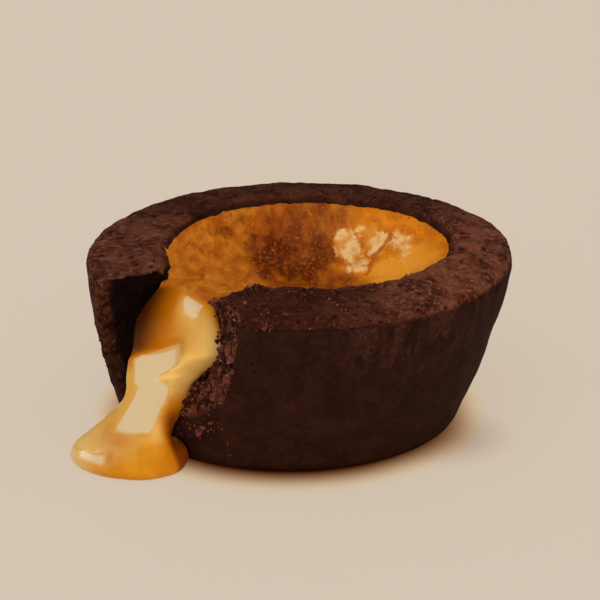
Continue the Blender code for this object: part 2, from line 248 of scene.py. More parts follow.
# The painted shade on the stream's upper left: a line in the view, and a band of painted half-shade
# along it
SHADE_START = (-21.3, -0.2)
SHADE_SLOPE = 2.65
HALF_SHADE_HEIGHTS = (-14.0, -12.0, -9.0, -7.2, -5.4, -3.6, -1.8, 2.0)
HALF_SHADE_WIDTHS = (0.5, 2.0, 6.0, 7.0, 6.0, 3.5, 1.5, 0.8)
HALF_SHADE_END = -1.0
# How strongly the painted light is laid under the fold
FOLD_SHARE = 0.85

# The pool: its relief, and its edge where it meets the sponge
POOL_DRAWN_OUT = (1.0, 0.42, 1.0)
BACK_STREAKS_DRAWN_OUT = (1.0, 0.25, 0.6)
POOL_GRAIN_LEVEL = 0.5
POOL_GRAIN_HEIGHT = 0.10
EDGE_OUTWARD = 0.75
NEAR_EDGE_RISE = 1.5
LIP_INSET = 1.0

# Patches of the pool: share, place and half sizes in the view, and raggedness
# The pale patches are painted glare
PAINTED_GLARE_PATCHES = (
    (1.0, (8.9, 9.6), (2.9, 3.5), 1.0),
    (1.0, (13.6, 10.9), (2.6, 2.8), 1.0),
    (0.75, (11.2, 12.4), (2.6, 1.6), 1.0),
    (0.75, (10.6, 6.1), (3.2, 1.5), 1.0),
    (0.78, (18.2, 10.2), (2.5, 3.2), 1.0),
)
DARK_PATCHES = (
    (0.9, (-4.6, 8.4), (4.8, 3.6), 0.42),
    (0.85, (0.2, 5.4), (5.4, 3.2), 0.42),
    (0.6, (3.0, 9.4), (3.2, 3.8), 0.42),
    (0.7, (-13.4, 12.3), (2.2, 1.2), 0.42),
    (0.6, (-10.6, 14.6), (1.6, 1.4), 0.42),
)
BAKED_PATCHES = ((1.0, (-1.4, 9.2), (9.8, 9.4), 0.22), (0.85, (3.6, 3.4), (7.6, 3.4), 0.3))
PATCH_ENDS = (1.3, 0.5)
BRIGHT_FROM = (5.0, 13.0)
BRIGHT_RAGGEDNESS = 2.5

# Lines on the pool: share, start, end and width in the view, and raggedness
# The band is a painted highlight
GLARE_BANDS = ((1.0, (12.5, 3.4), (24.0, 8.4), 3.6, 0.8),)
CRACKS = (
    (1.0, (16.9, 12.0), (11.2, 4.6), 0.55, 0.7),
    (0.45, (11.4, 12.6), (10.6, 6.0), 0.5, 0.9),
)
LINE_CORE = 0.35

# Sponge colours, as screen values from 0 to 255, the darker one of a pair first
SIDE = ((41, 19, 12), (56, 28, 20))
SIDE_CRUMB = (62, 32, 23)
# Paler colour for the upper right of the side
PALER_SIDE = ((58, 28, 20), (88, 52, 42))
DIM_RIM = ((50, 17, 8), (73, 32, 18))
DIM_RIM_CRUMB = (98, 50, 34)
PALE_RIM = ((74, 29, 12), (118, 64, 42))
PALE_RIM_CRUMB = (146, 92, 66)
FLESH = ((56, 21, 11), (112, 56, 34))
FLESH_CRUMB = (170, 108, 84)
# Painted shade: the torn face where no light reaches
PAINTED_SHADE_FLESH = (22, 9, 6)
# Painted shade in the pits
PIT_SHADE = (30, 13, 8)
# Painted shade: a thin line along the rim's outer edge
RIM_CORNER_SHADE = (26, 11, 7)
CRUMB = ((50, 20, 14), (114, 60, 46))
PALE_CRUMB = (150, 94, 72)

# How strongly the sponge and its crumbs mirror
SPONGE_SPECULAR = 0.08
CRUMB_SPECULAR = 0.12

# Caramel colours
FLOW = ((208, 130, 0), (222, 152, 16))
POOL = ((166, 84, 4), (206, 122, 30))
CLEAR_POOL = ((206, 112, 2), (230, 132, 2))
BAKED_POOL = ((116, 44, 2), (158, 74, 6))
POOL_FLECK = (112, 46, 2)
POOL_CRUST = ((74, 26, 0), (122, 50, 2))
# Painted highlight in a band at the pool's right
POOL_GLARE_BAND = (240, 158, 44)
# Painted glare in pale patches of the pool
POOL_PAINTED_GLARE = ((220, 142, 48), (244, 198, 132))
POOL_CRACK = (182, 88, 0)
# Painted highlight along the pool's near edge
POOL_LIP_HIGHLIGHT = (228, 142, 62)
POOL_GLEAM = (216, 132, 48)

# What is laid over the stream's colour: mask, its limits where it isn't taken as it is, colour
FLOW_LAYERS = (
    # Painted light on the left side of the puddle
    ("painted_light_puddle_left", None, (234, 192, 118)),
    # The stream's own paler colour, partly painted light
    ("light", None, (226, 172, 84)),
    # Painted light on the stream's right flank
    ("painted_light_flank", None, (255, 208, 118)),
    # Painted half-shade, then painted shade, then deeper painted shade
    ("painted_half_shade", None, (202, 116, 4)),
    ("shade", None, (78, 33, 6)),
    ("painted_deep_shade", (0.0, 1.0, 0.0, 0.5), (34, 16, 8)),
    # Under the mirrored highlight, a tint that is part of a painted highlight
    ("flat", (0.65, 0.95), (222, 176, 98)),
    # Painted shade low down and near the cake
    ("painted_shade_under", (0.0, 0.6), (206, 122, 8)),
    ("painted_shade_under", (0.4, 1.0), (126, 54, 2)),
)

# Caramel materials: name, how strongly they mirror, and the mask whose faces they take
CARAMELS = (
    ("caramel_flow", 0.2, None, None),
    ("caramel_pool", 0.028, "pool", 0.5),
    ("caramel_shaded", 0.03, "dull", 0.25),
)
SUBSURFACE = 0.3
SUBSURFACE_RADIUS = (1.0, 0.42, 0.1)
SUBSURFACE_SCALE = 0.0016

# The floor: its own colours, the glow of painted light that lifts it to the backdrop, and its painted
# shadows
FLOOR_SIZE = 4.0
FLOOR_SQUARES = 24
FLOOR_ROUGHNESS = 0.85
FLOOR_SPECULAR = 0.1
FLOOR_COLOURS = ((98, 103, 106), (102, 107, 110))
FLOOR_GLOW_COLOUR = (198, 179, 157)
FLOOR_GLOW_WIDENING = 1.08
FLOOR_GLOW_RADII = ((27.5, 37.0), (28.3, 38.0), (28.8, 39.5))
# Painted contact shadow: a darker colour near the foot
FLOOR_CONTACT_SHADOW_COLOUR = (70, 50, 34)
FLOOR_CONTACT_SHADOW_RADII = (29.0, 40.0)
# A painted shadow cast to the right
SHADOW_MIDDLE = (26.0, -12.0)
SHADOW_REACH = (16.5, 17.0)
SHADOW_DEPTH = (0.42, 0.56, 0.66)

# Lights: name, direction from the cake, distance and size in metres, watts, colour,
# whether they are seen mirrored or light the surfaces, and what they shine on
LIGHTS = (
    ("left_glint", (-0.797, -0.29, 0.53), 3.0, (1.3, 0.95), 39.0, (0.12, 0.74, 1.0), True, "wet"),
    ("top_glint", (-0.31, 0.23, 0.92), 2.5, (1.2, 1.0), 38.0, (0.2, 0.76, 1.0), True, "wet"),
    ("crumb_glint", (-0.31, 0.1, 0.94), 2.5, (0.6, 0.5), 16.0, (1.0, 0.9, 0.84), True, "dry"),
    ("back_glint", (-0.21, 0.69, 0.69), 3.0, (0.5, 0.3), 6.0, (1.0, 0.8, 0.5), True, "wet"),
    ("fill", (-0.2, -0.72, 0.66), 3.5, (3.0, 3.0), 40.0, (1.0, 0.97, 0.92), False, None),
    ("right_fill", (0.75, -0.6, 0.28), 2.5, (2.0, 2.0), 18.0, (1.0, 0.92, 0.78), False, "wet"),
)
WORLD_COLOUR = (1.0, 0.955, 0.9, 1.0)
WORLD_STRENGTH = 0.62


def smoothstep(low, high, value):
    """0 below low, 1 above high (either way round), and a smooth climb between them."""
    share = np.clip((np.asarray(value, float) - low) / (high - low), 0.0, 1.0)
    return share * share * (3.0 - 2.0 * share)


def region(name, places):
    """1 inside a region, 0 outside it, and a smooth climb between them."""
    share = 1.0
    for measure, low, high, *centre in REGIONS[name]:
        value = places[measure]
        if centre:
            value = angle_from(value, centre[0])
        share = share * smoothstep(low, high, value)
    return share


def hashed(cells, seed):
    """A number from 0 to 1 for each whole-number cell."""
    cells = cells.astype(np.int64).astype(np.uint64)
    mixed = cells[..., 0] * np.uint64(73856093)
    mixed ^= cells[..., 1] * np.uint64(19349663)
    mixed ^= cells[..., 2] * np.uint64(83492791)
    mixed ^= np.uint64(seed * 2654435761 + 97)
    for _ in range(2):
        mixed ^= mixed >> np.uint64(29)
        mixed *= np.uint64(0xBF58476D1CE4E5B9)
    mixed ^= mixed >> np.uint64(32)
    return (mixed & np.uint64(0xFFFFFF)).astype(float) / 0xFFFFFF


def lumps(points, size, seed):
    """Gradient noise from about -1 to 1, with bumps of the given size."""
    at = points / size
    cell = np.floor(at)
    inside = at - cell
    fade = inside**3 * (inside * (inside * 6.0 - 15.0) + 10.0)
    total = np.zeros(len(points))
    for corner in np.ndindex(2, 2, 2):
        corner = np.array(corner)
        weight = np.prod(np.where(corner, fade, 1.0 - fade), axis=1)
        away = inside - corner
        slope = sum(
            (hashed(cell + corner, 3 * seed + axis) - 0.5) * away[:, axis] for axis in range(3)
        )
        total += weight * slope
    return NOISE_REACH * total


def waves(name, points):
    """One of the named smooth noises, at the points."""
    return sum(height * lumps(points, size, seed) for height, size, seed in WAVES[name])


def grains(name, points):
    """How far each point is from the nearest of a scatter of grains, over their spacing."""
    spacing, seed = GRAINS[name]
    at = points / spacing
    cell = np.floor(at)
    nearest = np.full(len(points), 9.0)
    for step in np.ndindex(3, 3, 3):
        near = cell + np.array(step) - 1
        middle = near + np.stack([hashed(near, 5 * seed + axis) for axis in range(3)], axis=1)
        nearest = np.minimum(nearest, np.sum((at - middle) ** 2, axis=1))
    return np.sqrt(nearest)


def points_of(mesh):
    """A mesh's points in millimetres."""
    flat = np.empty(3 * len(mesh.vertices))
    mesh.vertices.foreach_get("co", flat)
    return flat.reshape(-1, 3) / MM


def normals_of(mesh):
    """A mesh's point normals."""
    flat = np.empty(3 * len(mesh.vertices))
    mesh.vertices.foreach_get("normal", flat)
    return flat.reshape(-1, 3)


def set_points(mesh, points):
    """Put a mesh's points at the given places, in millimetres."""
    mesh.vertices.foreach_set("co", (points * MM).ravel())
    mesh.update()


def first_corners(mesh):
    """The number of each face's first point."""
    starts = np.empty(len(mesh.polygons), np.int64)
    mesh.polygons.foreach_get("loop_start", starts)
    corners = np.empty(len(mesh.loops), np.int64)
    mesh.loops.foreach_get("vertex_index", corners)
    return corners[starts]


def keep_masks(mesh, masks):
    """Store numbers for each point under their names, which the materials read."""
    for name, values in masks.items():
        attribute = mesh.attributes.new(name, "FLOAT", "POINT")
        attribute.data.foreach_set("value", np.asarray(values, np.float32))


def mask_at(mesh, name, numbers):
    """The stored numbers at the points with the given numbers."""
    values = np.empty(len(mesh.vertices), np.float32)
    mesh.attributes[name].data.foreach_get("value", values)
    return values[numbers]


def new_object(name, data):
    """An object in the scene with the given mesh, light or camera."""
    thing = bpy.data.objects.new(name, data)
    bpy.context.scene.collection.objects.link(thing)
    return thing


def fine_copy(solid, name, voxel, smoothing):
    """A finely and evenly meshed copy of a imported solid, smoothed a little."""
    mesh = solid.data.copy()
    work = bmesh.new()
    work.from_mesh(mesh)
    bmesh.ops.remove_doubles(work, verts=work.verts, dist=WELD * MM)
    work.to_mesh(mesh)
    work.free()
    thing = new_object(name, mesh)
    remesh = thing.modifiers.new("remesh", "REMESH")
    remesh.mode = "VOXEL"
    remesh.voxel_size = voxel * MM
    smooth = thing.modifiers.new("smooth", "SMOOTH")
    smooth.factor = SMOOTHING_FACTOR
    smooth.iterations = smoothing
    bpy.context.view_layer.update()
    seen = thing.evaluated_get(bpy.context.evaluated_depsgraph_get())
    fine = bpy.data.meshes.new_from_object(seen)
    fine.name = name
    thing.modifiers.clear()
    thing.data = fine
    if "sharp_face" in fine.attributes:
        fine.attributes.remove(fine.attributes["sharp_face"])
    fine.shade_smooth()
    fine.materials.clear()
    return thing


def relaxed(mesh, points, share, rounds):
    """The points after rounds of moving each one a share of the way to its neighbours."""
    ends = np.empty(2 * len(mesh.edges), np.int32)
    mesh.edges.foreach_get("vertices", ends)
    ends = ends.reshape(-1, 2)
    from_ends = np.concatenate([ends[:, 0], ends[:, 1]])
    to_ends = np.concatenate([ends[:, 1], ends[:, 0]])
    count = len(points)
    degree = np.maximum(np.bincount(from_ends, minlength=count), 1)
    points = points.copy()
    for _ in range(rounds):
        near = [np.bincount(from_ends, points[to_ends, axis], count) / degree for axis in range(3)]
        points += (np.stack(near, axis=1) - points) * RELAXING * share[:, None]
    return points


def polar(points):
    """Radius and angle of each point about the sponge's leaning axis."""
    x = points[:, 0] - LEAN * points[:, 2] / HEIGHT
    return np.hypot(x, points[:, 1]), np.degrees(np.arctan2(points[:, 1], x)) % 360.0


def angle_from(angles, centre):
    """How far each angle is from a centre."""
    return np.abs((angles - centre + 180.0) % 360.0 - 180.0)


def along_stream(points):
    """How far each point is out in the direction in which the caramel runs."""
    turn = math.radians(STREAM_ANGLE)
    return points[:, 0] * math.cos(turn) + points[:, 1] * math.sin(turn)


def across_stream(points):
    """How far each point is to the right of the running caramel's middle line."""
    turn = math.radians(STREAM_ANGLE)
    return points[:, 1] * math.cos(turn) - points[:, 0] * math.sin(turn)


def front_view(points):
    """How far each point is across and up a plane fixed to the cake, which leans back."""
    up = (points[:, 2] - VIEW_Z) * math.cos(VIEW_ELEVATION)
    return points[:, 0] - VIEW_X, up + points[:, 1] * math.sin(VIEW_ELEVATION)


def side_laid_out(places, drawn_out):
    """Points of the sponge's side laid out flat, so that noise there is drawn out downward."""
    across = np.radians(places["angle"]) * SIDE_RADIUS
    return np.stack([across, places["z"] * drawn_out, np.zeros(len(across))], axis=1)


def cake_regions(points, places):
    """How far each point is in each region of the sponge."""
    places["ragged_angle"] = places["angle"] + waves("break_edge", points)
    paler_side = side_laid_out(places, PALER_SIDE_DRAWN_OUT)
    places["paler_side"] = waves("paler_side", paler_side)
    places["paler_side_height"] = places["z"] + waves("paler_side_height", paler_side)
    top = region("top", places)
    torn = np.maximum(region("break", places), SLIVER_SHARE * region("sliver", places))
    torn *= 1.0 - top
    side = (1.0 - torn) * (1.0 - top)
    return {
        "side": side,
        "paler_side_patch": side * region("paler_side_patch", places),
        "top": top,
        "front_rim": top * region("front_rim", places),
        # A line along the rim's outer edge: a groove with painted shade
        "corner": 4.0 * top * (1.0 - top) * region("rim_corner", places),
        "torn": torn,
    }


def cake_noises(points, places):
    """The noises that the sponge's relief is made of."""
    noises = {name: waves(name, points) for name in ("broad", "medium", "fine")}
    noises["streaks"] = waves("streaks", side_laid_out(places, STREAKS_DRAWN_OUT))
    for name in ("grain", "coarse_grain"):
        noises[name] = GRAIN_LEVEL - grains(name, points)
    for name, radii in PIT_RADII.items():
        noises[name] = smoothstep(*radii, grains(name, points))
    return noises


def cake_masks(places, shares, noises):
    """Where the torn face has painted light and painted shade, where the rim is pale, where the side is
    paler at the upper right, and where the sponge is torn and pitted, with painted shade in the pits.
    """
    lit = DARK_PATCH_LIGHT + (1.0 - DARK_PATCH_LIGHT) * region("lit_patches", places)
    low, rise = LEFT_EDGE_LIGHT
    left_edge = region("left_edge", places) * (low + rise * region("left_edge_high", places))
    pale = np.zeros(len(lit))
    for share, centre, end, full in PALE_RIMS:
        near = smoothstep(end, full, angle_from(places["angle"], centre))
        pale = np.maximum(pale, share * near)
    pit = noises["pit"] * (shares["top"] + shares["torn"])
    masks = {name: shares[name] for name in ("paler_side_patch", "top", "corner", "torn")}
    # Painted light and painted shade on the torn face
    masks["lit"] = np.maximum(lit * region("lit", places), left_edge)
    masks["pale"] = pale
    # Painted shade in the pits of the rim, the torn face and the side
    masks["pit"] = np.maximum(pit, noises["side_pit"] * shares["side"])
    return masks


def make_cake(solid):
    """The sponge, with a pan-smooth side, a crumbly rim and a torn break."""
    cake = fine_copy(solid, "cake_crumb", CAKE_VOXEL, CAKE_SMOOTHING)
    mesh = cake.data
    points = points_of(mesh)
    normals = normals_of(mesh)
    radius, angle = polar(points)
    places = {"angle": angle, "z": points[:, 2].copy(), "facing_up": normals[:, 2]}
    places["depth"] = np.interp(places["z"], WALL_HEIGHTS, WALL_RADII) - radius
    shares = cake_regions(points, places)
    noises = cake_noises(points, places)
    move = np.zeros(len(points))
    for name, heights in RELIEF.items():
        move += shares[name] * sum(height * noises[noise] for noise, height in heights.items())
    move -= CORNER_DEPTH * shares["corner"]
    points += normals * (move * region("off_base", places))[:, None]
    points[:, 2] = np.maximum(points[:, 2], 0.0)
    set_points(mesh, points)
    places["z"] = points[:, 2]
    places["across"] = across_stream(points)
    places["patches"] = waves("lit_patches", points)
    keep_masks(mesh, cake_masks(places, shares, noises))
    return cake


def make_crumbs(cake, caramel):
    """Loose and half-attached crumbs on the rim and the torn faces, as one mesh."""
    rng = np.random.default_rng(CRUMB_SEED)
    mesh = cake.data
    centres = np.empty(3 * len(mesh.polygons))
    mesh.polygons.foreach_get("center", centres)
    centres = centres.reshape(-1, 3) / MM
    firsts = first_corners(mesh)
    top = mask_at(mesh, "top", firsts).astype(float)
    torn = mask_at(mesh, "torn", firsts).astype(float)
    places = {"angle": polar(centres)[1], "z": centres[:, 2], "across": across_stream(centres)}
    from_opening = centres[:, :2] - OPENING_CENTRE
    places["from_opening"] = np.hypot(from_opening[:, 0], from_opening[:, 1])
    for name in ("clumps", "lump_clumps"):
        places[name] = waves(name, centres)
    shown = np.maximum(region("crumbs_shown", places), torn)
    clumps = region("clumps", places)
    right = region("crumbs_right", places)
    torn *= TORN_LEFT_SHARE + right
    below = region("crumbs_below", places) * clumps
    on_rim = RIM_CRUMBS * top * region("crumbs_front", places)
    fine_weight = shown * clumps * (on_rim + TORN_CRUMBS * torn) + CRUMBS_BELOW * below
    coarse_weight = torn * right * region("lump_clumps", places) + LUMPS_BELOW * below
    edge, edge_normals, edge_weight = stream_edge(caramel.data, centres[torn * right > TORN_LEAST])
    normals = normals_of(mesh)[firsts]
    work = bmesh.new()
    for count, sizes, weight, detail, points, outward in (
        (CRUMB_COUNT, CRUMB_SIZES, fine_weight, 1, centres, normals),
        (LUMP_COUNT, LUMP_SIZES, coarse_weight, 2, centres, normals),
        (EDGE_COUNT, EDGE_SIZES, edge_weight, 2, edge, edge_normals),
    ):
        picked = rng.choice(len(weight), count, replace=False, p=weight / weight.sum())
        for place, normal in zip(points[picked], outward[picked]):
            add_crumb(work, rng, place, normal, sizes, detail)
    crumb_mesh = bpy.data.meshes.new("crumbs")
    work.to_mesh(crumb_mesh)
    work.free()
    return new_object("crumbs", crumb_mesh)


def stream_edge(mesh, torn_points):
    """The caramel's points and normals, and how near its right edge is to the torn face."""
    tree = KDTree(len(torn_points))
    for number, point in enumerate(torn_points):
        tree.insert(point, number)
    tree.balance()
    points = points_of(mesh)
    normals = normals_of(mesh)
    beside = (across_stream(points) > EDGE_LEAST_ACROSS) & (points[:, 2] > EDGE_LEAST_Z)
    beside &= (along_stream(points) > EDGE_LEAST_ALONG) & (normals[:, 1] < EDGE_MOST_BACKWARD)
    weight = np.zeros(len(points))
    for number in np.flatnonzero(beside):
        away = tree.find(points[number])[2]
        weight[number] = smoothstep(*EDGE_REACH, away)
    return points, normals, weight


def add_crumb(work, rng, place, normal, sizes, detail):
    """Add one ragged crumb, half sunk where it lies."""
    size = sizes[0] + (sizes[1] - sizes[0]) * rng.random() ** CRUMB_SMALLNESS
    spin = Vector(rng.normal(size=3)).normalized()
    turn = Matrix.Rotation(rng.random() * math.tau, 4, spin)
    least, more = CRUMB_STRETCH
    stretch = Matrix.Diagonal((*(least + more * rng.random(3)), 1.0))
    at = Vector((place + normal * size * CRUMB_LIFT) * MM)
    matrix = Matrix.Translation(at) @ turn @ stretch
    made = bmesh.ops.create_icosphere(work, subdivisions=detail, radius=size * MM, matrix=matrix)
    for point in made["verts"]:
        point.co += (point.co - at) * float(rng.normal(0.0, CRUMB_RAGGEDNESS))


def flow_places(points):
    """Where each point of the caramel is along and across the stream, and in the pool."""
    pool_x = points[:, 0] - OPENING_CENTRE[0]
    pool_y = points[:, 1] - OPENING_CENTRE[1]
    pool_radius = np.hypot(pool_x, pool_y)
    pool_angle = np.degrees(np.arctan2(pool_y, pool_x)) % 360.0
    mouth = smoothstep(MOUTH_SPREAD, 0.0, angle_from(pool_angle, MOUTH_ANGLE))
    inset = POOL_RADIUS + MOUTH_WIDENING * mouth - pool_radius
    across = across_stream(points)
    return {
        "along": along_stream(points),
        "across": across,
        "aside": np.abs(across - STREAM_MIDDLE) / STREAM_HALF_WIDTH,
        "pool_angle": pool_angle,
        "inset": inset,
        "off_lip": np.abs(inset - LIP_INSET),
        "outward": np.stack([pool_x, pool_y, np.zeros(len(points))], axis=1) / pool_radius[:, None],
    }


def note_places(places, points):
    """Note where the points are now."""
    places["x"], places["y"], places["z"] = points.T.copy()
    places["radius"] = np.hypot(points[:, 0], points[:, 1])


def note_view(places, points):
    """Note where the points are now in the view, and how far outside the shaded line."""
    seen_x, seen_y = front_view(points)
    first = FLAT_PATCHES[0]
    places["seen_x"] = seen_x
    places["seen_y"] = seen_y
    places["outside"] = seen_x - SHADE_START[0] - (seen_y - SHADE_START[1]) / SHADE_SLOPE
    places["slanting"] = seen_y - first[5] * (seen_x - first[0])


def shaped_stream(mesh, points, places):
    """The points with the stream's joins smooth, and its edges as the photograph has them."""
    note_places(places, points)
    ends = np.maximum(region("neck", places), region("foot", places))
    points = relaxed(mesh, points, ends, ENDS_ROUNDS)
    note_places(places, points)
    points = relaxed(mesh, points, region("join", places), JOIN_ROUNDS)
    note_places(places, points)
    note_view(places, points)
    right_edge = region("right_edge", places)
    push = right_edge * np.interp(places["seen_y"], RIGHT_EDGE_HEIGHTS, RIGHT_EDGE_PUSHES)
    push += WAIST * region("waist", places)
    turn = math.radians(STREAM_ANGLE)
    points += np.outer(push, [-math.sin(turn), math.cos(turn), 0.0])
    return relaxed(mesh, points, right_edge, EDGE_ROUNDS)


def with_relief(points, normals, places, pool):
    """The points with the pool's wrinkles and raised edge, and the stream's full front."""
    places["facing_up"] = normals[:, 2]
    drawn = points * POOL_DRAWN_OUT
    wrinkles = waves("wrinkles", drawn)
    wrinkles += POOL_GRAIN_HEIGHT * (POOL_GRAIN_LEVEL - grains("pool_grain", drawn))
    streaks = waves("back_streaks", points * BACK_STREAKS_DRAWN_OUT)
    wrinkles += region("pool_back", places) * streaks
    full = FRONT_FULLNESS * places["aside"] ** 2 * region("front", places)
    move = region("upward", places) * (pool * wrinkles + full)
    move += (1.0 - pool) * waves("swell", points)
    edge = region("pool_edge", places) * pool
    points = points + normals * move[:, None]
    points += places["outward"] * (edge * (EDGE_OUTWARD + waves("wavy_edge", points)))[:, None]
    points[:, 2] += NEAR_EDGE_RISE * edge * region("near_edge", places)
    points[:, 2] = np.maximum(points[:, 2], 0.0)
    return points


def flattened(points, normals, facing, patches):
    """The points, with patches of the front view flat in one plane, and how flat each is."""
    across, up = front_view(points)
    weight = np.zeros(len(points))
    for middle_x, middle_y, half_x, half_y, lean_x, lean_y in patches:
        off_x = across - middle_x
        off_y = up - middle_y
        within = smoothstep(*FLAT_ENDS, np.abs(off_x - lean_x * off_y) / half_x)
        within *= smoothstep(*FLAT_ENDS, np.abs(off_y - lean_y * off_x) / half_y)
        weight = np.maximum(weight, within)
    weight *= smoothstep(*FLAT_FACING, normals @ facing) * smoothstep(*FLAT_HEIGHTS, points[:, 2])
    height = points @ facing
    level = np.sum(weight * height) / np.sum(weight)
    return points + np.outer(weight * (level - height), facing), weight


def patched(across, up, patches, uneven):
    """1 in ragged round patches of the view, times their shares, and 0 around them."""
    total = np.zeros(len(across))
    for share, place, size, raggedness in patches:
        away = np.hypot((across - place[0]) / size[0], (up - place[1]) / size[1])
        inside = smoothstep(*PATCH_ENDS, away + raggedness * uneven)
        total = np.maximum(total, share * inside)
    return total


def lined(across, up, lines, uneven):
    """1 along ragged lines of the view, times their shares, and 0 beside them."""
    total = np.zeros(len(across))
    for share, start, end, width, raggedness in lines:
        run = np.array(end) - np.array(start)
        length = np.hypot(*run)
        run = run / length
        along = (across - start[0]) * run[0] + (up - start[1]) * run[1]
        beside = (up - start[1]) * run[0] - (across - start[0]) * run[1]
        inside = smoothstep(-width, width, along)
        inside *= smoothstep(length + width, length - width, along)
        inside *= smoothstep(width, LINE_CORE * width, np.abs(beside + raggedness * uneven))
        total = np.maximum(total, share * inside)
    return total


def pool_masks(points, places, pool):
    """Where the pool is baked dark, where it has painted glare and painted highlights, and where it is
    clear and bright.
    """
    across, up = front_view(points)
    drawn = points * POOL_DRAWN_OUT
    baked = waves("baked", drawn)
    torn = waves("torn", drawn)
    masks = {
        "dark": patched(across, up, BAKED_PATCHES, baked),
        "darkest": patched(across, up, DARK_PATCHES, torn),
        "bright": smoothstep(*BRIGHT_FROM, across + BRIGHT_RAGGEDNESS * baked),
        # Painted glare in pale patches
        "painted_glare": patched(across, up, PAINTED_GLARE_PATCHES, waves("patch_edge", drawn)),
        # Painted highlight in a band
        "band": lined(across, up, GLARE_BANDS, torn),
        "crack": lined(across, up, CRACKS, torn),
        # Painted highlight along the near edge
        "painted_lip_highlight": region("painted_lip_highlight", places),
    }
    return {name: values * pool for name, values in masks.items()}


def stream_masks(places, pool):
    """Where the stream and the puddle have painted light and painted shade, and where they are satin or
    flat.
    """
    light = region("light", places) * (1.0 - pool)
    shade = region("shade", places)
    band = np.interp(places["seen_y"], HALF_SHADE_HEIGHTS, HALF_SHADE_WIDTHS)
    painted_half_shade = smoothstep(band, HALF_SHADE_END, places["outside"])
    satin = np.maximum(region("satin_above", places), region("satin_left", places))
    painted_light_flank = np.maximum(region("painted_light_flank", places), FOLD_SHARE * region("fold", places))
    return {
        "flat": places["flat"],
        "pool": pool,
        "light": light,
        "painted_light_flank": painted_light_flank * light,
        "painted_shade_under": region("painted_shade_under", places),
        "satin": np.maximum(satin, region("puddle_join", places)),
        "painted_light_puddle_left": region("painted_light_puddle_left", places),
        "shade": shade,
        "dull": np.maximum(region("dull", places), shade),
        "painted_deep_shade": shade * region("painted_deep_shade", places),
        "painted_half_shade": painted_half_shade * region("painted_half_shade", places),
    }


def make_caramel(solid):
    """The caramel: a wrinkled pool, a smooth thick stream and a rounded puddle."""
    caramel = fine_copy(solid, "caramel_flow", CARAMEL_VOXEL, CARAMEL_SMOOTHING)
    mesh = caramel.data
    points = points_of(mesh)
    places = flow_places(points)
    points = shaped_stream(mesh, points, places)
    set_points(mesh, points)
    note_places(places, points)
    note_view(places, points)
    pool = region("pool", places)
    points = with_relief(points, normals_of(mesh), places, pool)
    set_points(mesh, points)
    normals = normals_of(mesh)
    points, places["flat"] = flattened(points, normals, FLAT_NORMAL, FLAT_PATCHES)
    points, _ = flattened(points, normals, PUDDLE_NORMAL, PUDDLE_PATCHES)
    set_points(mesh, points)
    note_places(places, points)
    keep_masks(mesh, pool_masks(points, places, pool))
    keep_masks(mesh, stream_masks(places, pool))
    return caramel


def srgb(red, green, blue):
    """A colour given as screen values from 0 to 255, as the shader's linear values."""
    values = np.array([red, green, blue]) / 255.0
    linear = np.where(values <= 0.04045, values / 12.92, ((values + 0.055) / 1.055) ** 2.4)
    return (*linear, 1.0)


